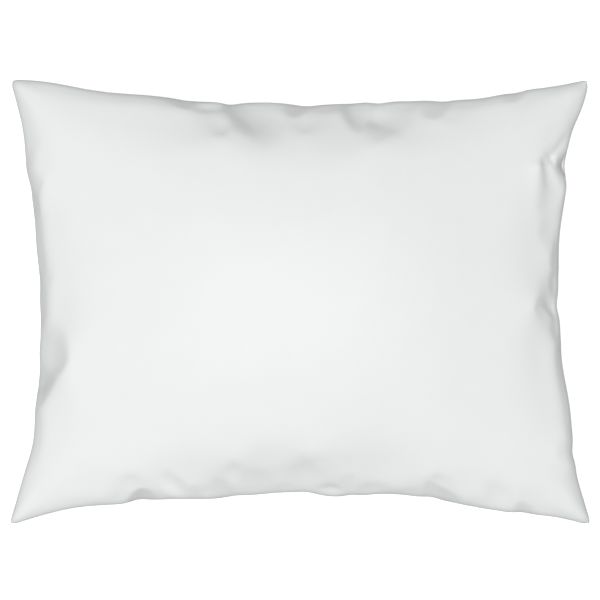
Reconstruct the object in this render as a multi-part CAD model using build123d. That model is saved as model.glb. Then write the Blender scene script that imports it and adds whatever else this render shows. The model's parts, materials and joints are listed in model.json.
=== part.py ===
from build123d import *
import math
import os

# A bed pillow lying flat on a table: a zipped cotton case over a fibre-filled inner pillow.
# Millimetres. +X runs along the long side, +Y along the short side, +Z up.
# The origin is on the table, under the middle of the pillow's bounding box.
# The case closes with a zip set back in a groove along the short side at +X. That side is
# an arc about a vertical axis outside the pillow, so the chain, the tapes, the groove and
# the slider's travel are all rings about that one axis.

os.makedirs("parts", exist_ok=True)

# ---- driving sizes ----

TIP_X = 322.0             # middle of the pillow to a corner tip, along the long side
TIP_Y = 247.5             # the same along the short side
DRAW_IN_SHORT = 35.0      # how far the middle of a short side is drawn in behind its tips
DRAW_IN_LONG = 31.0       # how far the middle of a long side is drawn in
CROWN = 155.0             # height of the middle above the table
SEAM_Z = 68.0             # height of the seam all round
BELLY = 80.0              # depth below the seam that the underside would have, not pressed flat
FULLNESS = 3.2            # higher keeps the pillow full for longer before it falls to the seam

CASE_CLOTH = 0.8          # cotton of the case, with its puckers
TICKING_CLOTH = 0.6       # cloth of the inner pillow
CASE_SEAM_BAND = 3.0      # width over which the two case panels lie on each other at the seam
CASE_TO_TICKING = 1.2     # room between the case and the inner pillow
TICKING_TO_FILL = 0.3
TICKING_IN_X = 22.0       # the inner pillow ends this far inside the case at the short sides
TICKING_IN_Y = 12.0       # and this far at the long sides
TICKING_SEAM_BAND = 2.0
THREAD = 0.5              # sewing thread, laid as one line
CLOSED_BY_HAND = 90.0     # half the gap of the ticking that is closed after filling

# Depths into the pillow, measured inwards from the line of the seam on the zip's side.
GROOVE_DEPTH = 14.5
GROOVE_HALF = 5.5         # half the height of the groove
GROOVE_REACH = 188.0      # half the length of the groove, along its arc
GROOVE_WALL = 1.0
ALLOWANCE = 3.5           # height of the cloth turned up against the tape
TAPE = 0.6
TAPE_TOP = 7.0            # the tape stands this high, then leans back along the panel
TAPE_LEAN = 4.5
COIL_THICK = 2.0
COIL_INNER = 0.8          # from the middle of the chain to the near side of each coil
COIL_OUTER = 2.4
CHAIN_REACH = 176.0       # half the length of each coil
TAPE_REACH = 192.0

SLIDER_LENGTH = 11.0
SLIDER_HALF = 4.0         # half its width at the mouth
SLIDER_HEEL_HALF = 3.3
SLIDER_PLATE = 1.0
SLIDER_GAP = 0.4          # running room around coil and tape
SLIDER_CLOSED_AT = 165.0  # where the slider stands with the zip shut, along the arc
SLIDER_OPEN_AT = -155.0
BRIDGE_LIFT = 2.8         # room for the pull's bar under the bridge
BRIDGE_THICK = 0.8
BRIDGE_HALF_LENGTH = 3.8
BRIDGE_HALF_WIDTH = 0.9
STOP_LENGTH = 3.0

PULL_LENGTH = 22.0        # from the hinge to the tip
PULL_HALF = 2.6
PULL_THICK = 1.2
PULL_EYE_END = 4.9
PULL_EYE_HALF = 1.3

CARE_LABEL = (17.0, 30.0)
CONTENT_LABEL = (50.0, 70.0)
LABEL_THICK = 0.3


def arc_radius(half_chord, rise):
    """Radius of the arc over a chord, from half the chord and the arc's rise."""
    return (half_chord ** 2 + rise ** 2) / (2 * rise)


SHORT_RADIUS = arc_radius(TIP_Y, DRAW_IN_SHORT)
ZIP_AXIS_X = TIP_X - DRAW_IN_SHORT + SHORT_RADIUS
PULL_DEPTH = GROOVE_DEPTH - COIL_THICK - SLIDER_GAP - SLIDER_PLATE - BRIDGE_LIFT / 2


# ---- the pillow's two faces ----

def puff(t):
    """How full the pillow is, from 1 in the middle (t = 0) to 0 at the seam (t = 1)."""
    return 1 - abs(t) ** FULLNESS


def dome(in_x, in_y, base_z, rise):
    """One face of the pillow as a surface that runs a little past its seam."""
    steps_u, steps_v, overrun = 32, 26, 1.03
    rows = []
    for i in range(steps_u + 1):
        u = overrun * (2 * i / steps_u - 1)
        row = []
        for j in range(steps_v + 1):
            v = overrun * (2 * j / steps_v - 1)
            x = u * (TIP_X - in_x - DRAW_IN_SHORT * (1 - v * v))
            y = v * (TIP_Y - in_y - DRAW_IN_LONG * (1 - u * u))
            row.append((x, y, base_z + rise * puff(u) * puff(v)))
        rows.append(row)
    return Face.make_surface_from_array_of_points(rows)


def outline(in_x, in_y):
    """The seam's outline, four arcs that bend inwards between the corner tips."""
    x = TIP_X - in_x
    y = TIP_Y - in_y
    right = (x - DRAW_IN_SHORT, 0)
    left = (-right[0], 0)
    back = (0, y - DRAW_IN_LONG)
    front = (0, -back[1])
    sides = [
        ThreePointArc((x, -y), right, (x, y)),
        ThreePointArc((x, y), back, (-x, y)),
        ThreePointArc((-x, y), left, (-x, -y)),
        ThreePointArc((-x, -y), front, (x, -y)),
    ]
    return make_face(sides)


def upper_half(in_x, in_y, drop, edge):
    """Solid from the seam's plane up to the top face, `drop` below the crown."""
    base = SEAM_Z + edge
    under_face = Solid.extrude(dome(in_x, in_y, base, CROWN - drop - base), Vector(0, 0, -2 * CROWN))
    column = extrude(Pos(0, 0, SEAM_Z) * outline(in_x, in_y), CROWN)
    return column & under_face


def lower_half(in_x, in_y, drop, edge):
    """Solid from the seam's plane down to the underside, pressed flat `drop` above the table."""
    base = SEAM_Z - edge
    over_face = Solid.extrude(dome(in_x, in_y, base, -(BELLY - drop - edge)), Vector(0, 0, 2 * CROWN))
    column = extrude(Pos(0, 0, drop) * outline(in_x, in_y), SEAM_Z - drop)
    return column & over_face


# ---- rings about the zip's axis ----

def ring(section, reach, middle=0.0):
    """Turn a section about the zip's axis. It covers `reach` of arc to each side of `middle`."""
    half = math.degrees(reach / SHORT_RADIUS)
    start = 180 - math.degrees(middle / SHORT_RADIUS) - half
    return Pos(ZIP_AXIS_X, 0, 0) * Rot(0, 0, start) * revolve(section, Axis.Z, 2 * half)


def section(points):
    """A closed section from (depth, height) points: depth inwards from the seam's line."""
    corners = [(SHORT_RADIUS + depth, SEAM_Z + height) for depth, height in points]
    return Plane.XZ * make_face(Polyline(*corners, close=True))


def block_section(depth_a, depth_b, height_a, height_b):
    """A rectangular section between two depths and two heights."""
    return section([(depth_a, height_a), (depth_b, height_a), (depth_b, height_b), (depth_a, height_b)])


def groove_solids(side):
    """The groove's own space and the cloth block around it, above (+1) or below (-1) the seam."""
    outside = -20.0
    roof = GROOVE_HALF + GROOVE_WALL
    turned_up = roof + ALLOWANCE
    space = ring(block_section(outside, GROOVE_DEPTH, 0, side * GROOVE_HALF), GROOVE_REACH)
    walls = section([
        (outside, 0),
        (GROOVE_DEPTH, 0),
        (GROOVE_DEPTH, side * turned_up),
        (GROOVE_DEPTH - CASE_CLOTH, side * turned_up),
        (GROOVE_DEPTH - CASE_CLOTH, side * roof),
        (outside, side * roof),
    ])
    return space, ring(walls, GROOVE_REACH + GROOVE_WALL)


# ---- the case ----

case_outer = {1: upper_half(0, 0, 0, CASE_CLOTH), -1: lower_half(0, 0, 0, CASE_CLOTH)}
case_inner = {
    1: upper_half(CASE_SEAM_BAND, CASE_SEAM_BAND, CASE_CLOTH, 0.1),
    -1: lower_half(CASE_SEAM_BAND, CASE_SEAM_BAND, CASE_CLOTH, 0.1),
}


def case_panel(side):
    """One panel of the case, with its lip turned in along the zip."""
    space, cloth_block = groove_solids(side)
    shell = case_outer[side] - case_inner[side]
    lip = cloth_block & case_outer[side]
    return (shell + lip) - space


def seam_thread(side, in_x, in_y, reach, middle=0.0):
    """A line of sewing thread in the seam's plane, along one side of an outline.

    Sides are named by their place. It covers `reach` of arc to each side of `middle`.
    """
    end_x = TIP_X - in_x
    end_y = TIP_Y - in_y
    if side in ("right", "left"):
        radius = arc_radius(end_y, DRAW_IN_SHORT)
        away = end_x - DRAW_IN_SHORT + radius
        centre = (away, 0) if side == "right" else (-away, 0)
        facing = 180 if side == "right" else 0
    else:
        radius = arc_radius(end_x, DRAW_IN_LONG)
        away = end_y - DRAW_IN_LONG + radius
        centre = (0, away) if side == "top" else (0, -away)
        facing = -90 if side == "top" else 90
    circle = Plane.XZ * Pos(radius, SEAM_Z) * Circle(THREAD / 2)
    half = math.degrees(reach / radius)
    start = facing + math.degrees(middle / radius) - half
    return Pos(*centre, 0) * Rot(0, 0, start) * revolve(circle, Axis.Z, 2 * half)


def case_thread(side):
    """The case's seam thread on one side. At +X it is two short runs past the zip's ends."""
    inset = CASE_SEAM_BAND / 2
    half_side = TIP_X if side in ("top", "bottom") else TIP_Y
    end = half_side - 3 * CASE_SEAM_BAND
    if side != "right":
        return seam_thread(side, inset, inset, end)
    start = GROOVE_REACH + 2 * GROOVE_WALL
    half = (end - start) / 2
    middle = (end + start) / 2
    return Compound([seam_thread(side, inset, inset, half, way * middle) for way in (1, -1)])


# ---- the inner pillow ----

def ticking_panel(side):
    """One panel of the inner pillow's ticking."""
    make = upper_half if side > 0 else lower_half
    drop = CASE_CLOTH + CASE_TO_TICKING
    outer = make(TICKING_IN_X, TICKING_IN_Y, drop, TICKING_CLOTH)
    in_x = TICKING_IN_X + TICKING_SEAM_BAND
    in_y = TICKING_IN_Y + TICKING_SEAM_BAND
    return outer - make(in_x, in_y, drop + TICKING_CLOTH, 0.1)


def fill():
    """The fibre filling, one soft body."""
    drop = CASE_CLOTH + CASE_TO_TICKING + TICKING_CLOTH + TICKING_TO_FILL
    in_x = TICKING_IN_X + TICKING_SEAM_BAND + TICKING_TO_FILL
    in_y = TICKING_IN_Y + TICKING_SEAM_BAND + TICKING_TO_FILL
    return upper_half(in_x, in_y, drop, 0.05) + lower_half(in_x, in_y, drop, 0.05)


def ticking_thread():
    """The ticking's machine seam: three whole sides and the two ends of the fourth."""
    in_x = TICKING_IN_X + TICKING_SEAM_BAND / 2
    in_y = TICKING_IN_Y + TICKING_SEAM_BAND / 2
    long_end = TIP_X - in_x - 3 * TICKING_SEAM_BAND
    short_end = TIP_Y - in_y - 3 * TICKING_SEAM_BAND
    half = (long_end - CLOSED_BY_HAND) / 2
    middle = (long_end + CLOSED_BY_HAND) / 2
    return Compound([
        seam_thread("top", in_x, in_y, long_end),
        seam_thread("left", in_x, in_y, short_end),
        seam_thread("right", in_x, in_y, short_end),
        seam_thread("bottom", in_x, in_y, half, middle),
        seam_thread("bottom", in_x, in_y, half, -middle),
    ])


def closing_stitch():
    """The stitching that closes the gap through which the filling went in."""
    in_x = TICKING_IN_X + TICKING_SEAM_BAND / 2
    in_y = TICKING_IN_Y + TICKING_SEAM_BAND / 2
    return seam_thread("bottom", in_x, in_y, CLOSED_BY_HAND - THREAD)


# ---- labels ----

def care_label():
    """A blank satin label sewn into the left seam of the case, lying inside it."""
    length, width = CARE_LABEL
    seam_x = -(TIP_X - DRAW_IN_SHORT)
    return Pos(seam_x + 1.5 + length / 2, 0, SEAM_Z) * Box(length, width, LABEL_THICK)


def content_label():
    """A blank label sewn to the top of the inner pillow, following its face."""
    lift = 0.35
    base = SEAM_Z + TICKING_CLOTH + lift
    top = CROWN - CASE_CLOTH - CASE_TO_TICKING + lift
    face = dome(TICKING_IN_X, TICKING_IN_Y, base, top - base)
    layer = Solid.extrude(face, Vector(0, 0, LABEL_THICK))
    place = Pos(-TIP_X / 2, -TIP_Y / 4, CROWN - CONTENT_LABEL[0])
    return layer & (place * Box(*CONTENT_LABEL, 3 * CONTENT_LABEL[0]))


# ---- the zip ----

def tape(side):
    """One woven tape: it stands behind the groove and leans back along the panel."""
    near = GROOVE_DEPTH
    far = GROOVE_DEPTH + TAPE
    top = TAPE_TOP
    strip = section([
        (near, side * COIL_INNER),
        (far, side * COIL_INNER),
        (far, side * top),
        (far + TAPE_LEAN, side * (top + TAPE_LEAN)),
        (far + TAPE_LEAN - TAPE, side * (top + TAPE_LEAN + TAPE)),
        (near, side * (top + TAPE)),
    ])
    return ring(strip, TAPE_REACH) & case_inner[side]


def coil(side):
    """One coil of the chain, as the plain bar that its turns fill."""
    bar = block_section(GROOVE_DEPTH - COIL_THICK, GROOVE_DEPTH, side * COIL_INNER, side * COIL_OUTER)
    return ring(bar, CHAIN_REACH)


def zip_stitch(side):
    """The line of stitching that holds a tape to the turned-in cloth."""
    height = SEAM_Z + side * (GROOVE_HALF + GROOVE_WALL + ALLOWANCE / 2)
    circle = Plane.XZ * Pos(SHORT_RADIUS + GROOVE_DEPTH, height) * Circle(THREAD / 2)
    return ring(circle, GROOVE_REACH - 2 * GROOVE_WALL)


def stop(middle, low, high):
    """A pressed metal stop over coil and tape."""
    over = 0.6
    front = GROOVE_DEPTH - COIL_THICK - over
    clamp = block_section(front, GROOVE_DEPTH + TAPE + over, low, high)
    return ring(clamp, STOP_LENGTH / 2, middle)


def top_stops():
    """The pair of stops past the slider with the zip shut, one on each coil."""
    middle = SLIDER_CLOSED_AT + SLIDER_LENGTH / 2 + SLIDER_GAP + STOP_LENGTH / 2
    inner = COIL_INNER - 0.3
    outer = COIL_OUTER + 0.6
    return Compound([stop(middle, inner, outer), stop(middle, -outer, -inner)])


def bottom_stop():
    """The single stop that holds both coils together at the zip's foot."""
    middle = SLIDER_OPEN_AT - SLIDER_LENGTH / 2 - SLIDER_GAP - STOP_LENGTH / 2
    outer = COIL_OUTER + 0.6
    return stop(middle, -outer, outer)


def at_depth(depth):
    """X of a depth into the pillow, at the middle of the zip's side."""
    return ZIP_AXIS_X - SHORT_RADIUS - depth


def slider_plate(outer_depth):
    """A slider plate, wide at the mouth and narrow at the heel, `outer_depth` its outer face."""
    y = SLIDER_LENGTH / 2
    shape = Polyline(
        (-y, -SLIDER_HEEL_HALF),
        (y, -SLIDER_HALF),
        (y, SLIDER_HALF),
        (-y, SLIDER_HEEL_HALF),
        close=True,
    )
    face = fillet(make_face(shape).vertices(), 1.4)
    place = Plane(origin=(at_depth(outer_depth), 0, SEAM_Z), x_dir=(0, 1, 0), z_dir=(1, 0, 0))
    return extrude(place * face, -SLIDER_PLATE)


def slider():
    """The slider at the middle of the zip: plates, divider, flanges and the pull's bridge."""
    coil_face = GROOVE_DEPTH - COIL_THICK
    outer_back = coil_face - SLIDER_GAP
    outer_front = outer_back - SLIDER_PLATE
    inner_front = GROOVE_DEPTH + TAPE + SLIDER_GAP
    body = slider_plate(outer_front) + slider_plate(inner_front)

    divider_half = COIL_INNER - 0.35
    divider_length = 2.6
    divider = Box(inner_front - outer_back, divider_length, 2 * divider_half)
    divider_x = at_depth((inner_front + outer_back) / 2)
    body += Pos(divider_x, SLIDER_LENGTH / 4, SEAM_Z) * divider

    flange_end = GROOVE_DEPTH - SLIDER_GAP
    flange_low = COIL_OUTER + SLIDER_GAP
    flange_high = SLIDER_HEEL_HALF
    flange = Box(flange_end - outer_back, SLIDER_LENGTH - 2.8, flange_high - flange_low)
    for side in (1, -1):
        height = SEAM_Z + side * (flange_low + flange_high) / 2
        body += Pos(at_depth((outer_back + flange_end) / 2), 0, height) * flange

    bridge_front = outer_front - BRIDGE_LIFT - BRIDGE_THICK
    tall = outer_front - bridge_front
    outer_profile = fillet(Rectangle(tall, 2 * BRIDGE_HALF_LENGTH).vertices().group_by(Axis.X)[-1], 1.2)
    under = Pos(-BRIDGE_THICK, 0) * Rectangle(tall, 2 * (BRIDGE_HALF_LENGTH - 1.0))
    arch = extrude(outer_profile - under, BRIDGE_HALF_WIDTH, both=True)
    return body + Pos(at_depth((outer_front + bridge_front) / 2), 0, SEAM_Z) * arch


def pull_tab():
    """The pull lying flat along the chain, its eye round the bridge, at the middle of the zip."""
    bar = PULL_THICK / 2
    length = PULL_LENGTH + bar
    plate = fillet(Rectangle(length, 2 * PULL_HALF).vertices(), 1.2)
    face = Pos(-(PULL_LENGTH - bar) / 2, 0) * plate
    eye = Rectangle(PULL_EYE_END - bar, 2 * PULL_EYE_HALF)
    face -= Pos(-(PULL_EYE_END + bar) / 2, 0) * eye
    face -= Pos(-(PULL_LENGTH - PULL_HALF), 0) * Circle(1.1)
    place = Plane(origin=(at_depth(PULL_DEPTH), 0, SEAM_Z), x_dir=(0, 1, 0), z_dir=(1, 0, 0))
    return extrude(place * face, PULL_THICK / 2, both=True)


def along_zip(piece, distance):
    """Carry a piece from the middle of the zip along its arc, towards +Y."""
    turn = Rot(0, 0, -math.degrees(distance / SHORT_RADIUS))
    return Pos(ZIP_AXIS_X, 0, 0) * turn * Pos(-ZIP_AXIS_X, 0, 0) * piece


# ---- every piece to its own file ----

pieces = {
    "case_front_panel": case_panel(1),
    "case_back_panel": case_panel(-1),
    "care_label": care_label(),
    "ticking_front": ticking_panel(1),
    "ticking_back": ticking_panel(-1),
    "ticking_seam_thread": ticking_thread(),
    "ticking_closing_stitch": closing_stitch(),
    "fibre_fill": fill(),
    "content_label": content_label(),
    "zip_tape_upper": tape(1),
    "zip_tape_lower": tape(-1),
    "zip_coil_upper": coil(1),
    "zip_coil_lower": coil(-1),
    "zip_stitching_upper": zip_stitch(1),
    "zip_stitching_lower": zip_stitch(-1),
    "zip_top_stops": top_stops(),
    "zip_bottom_stop": bottom_stop(),
    "zip_slider": along_zip(slider(), SLIDER_CLOSED_AT),
    "zip_pull_tab": along_zip(pull_tab(), SLIDER_CLOSED_AT),
}
for side in ("top", "bottom", "left", "right"):
    pieces[f"case_seam_thread_{side}"] = case_thread(side)

for name, shape in pieces.items():
    export_step(shape, f"parts/{name}.step")

travel = math.degrees((SLIDER_CLOSED_AT - SLIDER_OPEN_AT) / SHORT_RADIUS)
pull_axis = along_zip(Pos(at_depth(PULL_DEPTH), 0, SEAM_Z) * Vertex(0, 0, 0), SLIDER_CLOSED_AT)
print(f"zip axis at x {ZIP_AXIS_X:.3f}, radius {SHORT_RADIUS:.3f}, travel {travel:.3f} degrees")
print(f"pull hinge at {pull_axis.center()}")
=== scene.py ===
"""A bed pillow: a zipped white cotton case, inflated as cloth, over a fibre-filled inner pillow.

Metres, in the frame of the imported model: +X along the long side towards the zip, +Y along the
short side, +Z up from the table.
"""

import json
import math

import bpy
import numpy as np
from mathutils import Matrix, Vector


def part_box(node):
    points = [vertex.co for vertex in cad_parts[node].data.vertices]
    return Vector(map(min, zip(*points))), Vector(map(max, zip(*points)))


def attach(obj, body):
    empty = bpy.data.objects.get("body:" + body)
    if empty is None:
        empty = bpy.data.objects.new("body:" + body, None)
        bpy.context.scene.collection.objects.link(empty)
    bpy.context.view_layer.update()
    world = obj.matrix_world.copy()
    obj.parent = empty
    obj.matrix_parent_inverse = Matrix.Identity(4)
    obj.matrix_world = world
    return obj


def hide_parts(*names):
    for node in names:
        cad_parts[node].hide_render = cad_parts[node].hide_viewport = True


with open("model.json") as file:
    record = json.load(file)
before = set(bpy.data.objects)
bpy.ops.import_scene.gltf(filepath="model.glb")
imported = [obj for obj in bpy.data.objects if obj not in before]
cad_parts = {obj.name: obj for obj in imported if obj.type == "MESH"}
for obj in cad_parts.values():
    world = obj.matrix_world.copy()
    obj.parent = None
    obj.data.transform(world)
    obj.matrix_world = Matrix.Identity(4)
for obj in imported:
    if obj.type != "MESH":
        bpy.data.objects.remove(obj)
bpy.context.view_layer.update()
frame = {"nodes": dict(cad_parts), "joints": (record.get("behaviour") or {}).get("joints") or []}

bl_info = {
    "name": "Bed pillow",
    "version": (1, 0, 0),
    "blender": (4, 5, 0),
    "location": "View3D > Sidebar > Pillow",
    "description": "Builds a filled bed pillow with its zipped case, inner pillow and zip",
    "category": "Object",
}

MM = 0.001

# ---- places taken from the frame ----

FRONT_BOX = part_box("case_front_panel")
BACK_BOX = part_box("case_back_panel")
TIP_X = float(FRONT_BOX[1][0])
TIP_Y = float(FRONT_BOX[1][1])
CROWN_Z = float(FRONT_BOX[1][2])
SEAM_Z = float(BACK_BOX[1][2])
ZIP_AXIS_X = next(float(joint["pos_m"][0]) for joint in frame["joints"]
                  if joint["name"] == "zip_travel")

# The zip's side is an arc about the zip's axis. These are depths inwards from its seam line.
DRAW_IN_SHORT = 35 * MM
SEAM_RADIUS = ZIP_AXIS_X - (TIP_X - DRAW_IN_SHORT)
TAPE_DEPTH = 14.5 * MM
COIL_THICK = 2.0 * MM
COIL_OUTER = 2.4 * MM
CHAIN_REACH = 176 * MM
GROOVE_REACH = 178 * MM
GROOVE_CLOSE = 20 * MM

THREAD_RADIUS = 0.16 * MM

# Cells along and across a panel while it is inflated, and once it is finished, and the points
# along and across each face of the inner pillow.
CLOTH_CELLS = (110, 85)
FINE_CELLS = (236, 180)
INNER_POINTS = (81, 62)

# The inner pillow's cut size, as a share of the case's.
INNER_CUT = 0.93


def length_property(name, text, default):
    """A length setting, in metres."""
    return bpy.props.FloatProperty(
        name=name, description=text, default=default, min=default / 10, unit="LENGTH")


def colour_property(name, text, default):
    """A colour setting kept as an sRGB hex value."""
    return bpy.props.StringProperty(name=name, description=text, default=default)


class PillowSizes(bpy.types.PropertyGroup):
    flat_length: length_property("Cut length", "Length of each case panel, cut flat", 0.660)
    flat_width: length_property("Cut width", "Width of each case panel, cut flat", 0.508)
    cloth: length_property("Case cloth", "Thickness of the case's cotton", 0.4 * MM)
    pressure: bpy.props.FloatProperty(
        name="Filling pressure", description="How hard the filling pushes on the case",
        default=6.0, min=0.5)
    stiffness: bpy.props.FloatProperty(
        name="Bending stiffness", description="How broad the cloth's puckers are",
        default=8.0, min=0.0)
    frames: bpy.props.IntProperty(
        name="Inflating steps", description="How long the case is inflated for",
        default=14, min=2)
    gap: length_property("Zip groove", "Height of the groove in which the zip lies", 9.6 * MM)
    mouth: length_property("Groove mouth", "Height between the two lips over the zip", 6.4 * MM)
    stitch: length_property("Stitch length", "Length of one machine stitch", 2.8 * MM)
    coil_pitch: length_property(
        "Coil pitch", "Distance from one turn of the zip's coil to the next", 1.4 * MM)


class PillowColours(bpy.types.PropertyGroup):
    case: colour_property("Case", "Bleached cotton of the case", "EEF1F0")
    ticking: colour_property("Ticking", "Cotton of the inner pillow", "E9E6DD")
    fibre: colour_property("Fibre", "Polyester filling", "F2F2F0")
    thread: colour_property("Thread", "Sewing thread", "F1F2F0")
    tape: colour_property("Tape", "Woven tape of the zip", "ECEDEB")
    coil: colour_property("Coil", "Nylon of the zip's coils", "F2F2EF")
    lacquer: colour_property("Lacquer", "Lacquer of the slider and the pull", "EDEEEC")
    label: colour_property("Label", "Satin of the blank labels", "F4F4F2")
    table: colour_property("Table", "The pale surface under the pillow", "FBFBFB")


def sizes():
    return bpy.context.scene.pillow_sizes


def colours():
    return bpy.context.scene.pillow_colours


# ---- shaping in numpy ----

def smooth_line(values, width):
    """A running average of a line of values, weighted by a bell of `width` samples.

    The line is carried on past its ends by turning it about them, so the ends stay put.
    """
    reach = int(3 * width)
    steps = np.arange(-reach, reach + 1)
    bell = np.exp(-0.5 * (steps / width) ** 2)
    bell /= bell.sum()
    before = 2 * values[0] - values[reach:0:-1]
    after = 2 * values[-1] - values[-2:-reach - 2:-1]
    return np.convolve(np.concatenate([before, values, after]), bell, mode="valid")


def smooth_grid(grid, width):
    """The same running average along both ways of a grid of values."""
    lines = np.apply_along_axis(smooth_line, 0, grid, width)
    return np.apply_along_axis(smooth_line, 1, lines, width)


def fullness(t, power=2.6):
    """1 - |t|^power: full in the middle of the pillow, nothing at the seam."""
    return 1 - np.abs(t) ** power


# The corner tips of the filled case, and the radius to which a sewn corner turns.
CORNER_X = TIP_X + 2.5 * MM
CORNER_Y = TIP_Y + 2.0 * MM
CORNER_RADIUS = 9 * MM

# How far each side of the filled case is drawn in behind the line between its corner tips,
# in millimetres, at seventeen even stations. Top and bottom run from -X to +X, the others
# from -Y to +Y.
SIDE_DRAW = {
    "top": (-1.6, 0.3, 10.9, 16.6, 17.2, 25.0, 27.8, 23.2, 31.1,
            28.2, 25.2, 25.0, 23.8, 23.6, 12.8, 9.3, 1.2),
    "bottom": (-2.7, 12.1, 22.8, 22.3, 31.7, 28.5, 31.0, 36.1, 40.3,
               29.2, 37.2, 35.3, 27.9, 18.4, 12.2, 8.8, -7.5),
    "left": (-1.0, 8.6, 16.6, 29.3, 26.7, 33.1, 30.7, 37.7, 32.7,
             35.6, 28.4, 29.7, 24.1, 17.1, 17.4, 8.9, 0.3),
    "right": (-1.5, 7.8, 18.3, 20.9, 21.3, 27.1, 34.4, 32.9, 38.6,
              35.5, 36.6, 33.1, 26.3, 28.1, 25.8, 5.3, 1.5),
}

# Where the seam puckers most, as (side, place along the side, depth, width) in millimetres.
# The cloth's folds start at these places when the case is inflated.
PUCKERS = (
    ("top", -125, 3, 16), ("top", -78, 9, 16), ("top", 8, 6, 16), ("top", 88, 8, 16),
    ("top", 160, 4, 14), ("top", 240, 3, 12),
    ("bottom", -180, 6, 14), ("bottom", -70, 7, 18), ("bottom", 8, 8, 18),
    ("bottom", 56, 5, 12), ("bottom", 145, 5, 14), ("bottom", 246, 3, 12),
    ("right", 152, 8, 15), ("right", -4, 7, 15), ("right", -166, 3, 10),
    ("left", -72, 8, 20), ("left", 126, 3, 14), ("left", 20, 2, 14),
)


def start_shape(u, v):
    """The case before it is inflated: plan position and height over the seam's plane.

    x = u (tip - draw (1 - v^2)) and y = v (tip - draw (1 - u^2)), less a bell of the
    pucker's depth at each pucker, fading inwards with the sixth power of the distance from
    the middle. Height is that of a low cushion, the product of both fullnesses.
    """
    draw = 8 * MM
    x = u * (TIP_X - draw * (1 - v ** 2))
    y = v * (TIP_Y - draw * (1 - u ** 2))
    for side, place, depth, width in PUCKERS:
        out = 1 if side in ("top", "right") else -1
        if side in ("top", "bottom"):
            bell = np.exp(-((x - place * MM) / (width * MM)) ** 2)
            y = y - out * depth * MM * bell * np.clip(out * v, 0, 1) ** 6
        else:
            bell = np.exp(-((y - place * MM) / (width * MM)) ** 2)
            x = x - out * depth * MM * bell * np.clip(out * u, 0, 1) ** 6
    start_height = 60 * MM
    return x, y, start_height * fullness(u) * fullness(v)


def bag_mesh(u, v):
    """Both panels of the case as one closed mesh, joined along the seam.

    Returns the mesh's points, its points cut flat, its faces, and the two grids of indices.
    """
    x, y, height = start_shape(u, v)
    front = np.stack([x, y, SEAM_Z + height], -1)
    back = np.stack([x, y, SEAM_Z - height], -1)
    cut = np.stack([u * sizes().flat_length / 2, v * sizes().flat_width / 2, 0 * u], -1)
    faces, front_index, back_index, inner = joined_faces(u.shape)
    points = np.concatenate([front.reshape(-1, 3), back[inner]])
    flat = np.concatenate([cut.reshape(-1, 3), cut[inner]])
    return points, flat, faces, front_index, back_index


def grid_faces(index):
    """The quads of a grid of vertex indices, facing +Z where it runs along +X, then +Y."""
    corners = [index[:-1, :-1], index[1:, :-1], index[1:, 1:], index[:-1, 1:]]
    return np.stack(corners, -1).reshape(-1, 4)


def joined_faces(shape):
    """The faces of two panels that share their edge, as one closed mesh.

    Also returns both panels' grids of vertex indices, and which points are inside the edge:
    the back's own, which come after all of the front's.
    """
    inner = np.zeros(shape, bool)
    inner[1:-1, 1:-1] = True
    front = np.arange(inner.size).reshape(shape)
    back = front.copy()
    back[inner] = inner.size + np.arange(inner.sum())
    faces = np.concatenate([grid_faces(front), grid_faces(back)[:, ::-1]])
    return faces, front, back, inner


def inflate_case():
    """Blow up the cut-flat case as cloth, and return its front and back grids of points.

    The cloth's lengths are those of the two flat panels. Pressure lifts them apart, the
    sides draw in, and the spare cloth folds at the puckers.
    """
    u, v = np.meshgrid(*(np.linspace(-1, 1, cells + 1) for cells in CLOTH_CELLS), indexing="ij")
    points, flat, faces, front_index, back_index = bag_mesh(u, v)

    mesh = bpy.data.meshes.new("bag")
    mesh.from_pydata(points.tolist(), [], faces.tolist())
    bag = bpy.data.objects.new("bag", mesh)
    bpy.context.scene.collection.objects.link(bag)
    bag.shape_key_add(name="start")
    cut = bag.shape_key_add(name="cut flat")
    cut.data.foreach_set("co", flat.ravel())
    cut.value = 0

    cloth = bag.modifiers.new("inflate", "CLOTH")
    settings = cloth.settings
    settings.quality = 5
    settings.mass = 0.3
    settings.tension_stiffness = settings.compression_stiffness = 15
    settings.shear_stiffness = 5
    settings.bending_stiffness = sizes().stiffness
    settings.tension_damping = settings.compression_damping = settings.shear_damping = 25
    settings.bending_damping = 0.5
    settings.air_damping = 5
    settings.rest_shape_key = cut
    settings.use_pressure = True
    settings.uniform_pressure_force = sizes().pressure
    settings.effector_weights.gravity = 0
    cloth.collision_settings.use_collision = False
    cloth.point_cache.frame_end = sizes().frames + 1
    for step in range(1, sizes().frames + 1):
        bpy.context.scene.frame_set(step)

    held = bag.evaluated_get(bpy.context.evaluated_depsgraph_get()).data
    blown = np.empty(len(held.vertices) * 3)
    held.vertices.foreach_get("co", blown)
    bpy.context.scene.frame_set(1)
    bpy.data.objects.remove(bag)
    bpy.data.meshes.remove(mesh)
    blown = blown.reshape(-1, 3)
    return blown[front_index], blown[back_index]


def side_target(side, along):
    """The plan position of a side of the filled case, at `along` from -1 to 1.

    The draw between the stations is a smooth line, by a bell-weighted average.
    """
    stations = np.linspace(-1, 1, len(SIDE_DRAW[side]))
    fine = np.linspace(-1, 1, 8 * (len(stations) - 1) + 1)
    draw = smooth_line(np.interp(fine, stations, SIDE_DRAW[side]), 4)
    draw = np.interp(along, fine, draw) * MM
    out = 1 if side in ("top", "right") else -1
    if side in ("top", "bottom"):
        return np.stack([along * CORNER_X, out * (CORNER_Y - draw)], -1)
    return np.stack([out * (CORNER_X - draw), along * CORNER_Y], -1)


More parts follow.
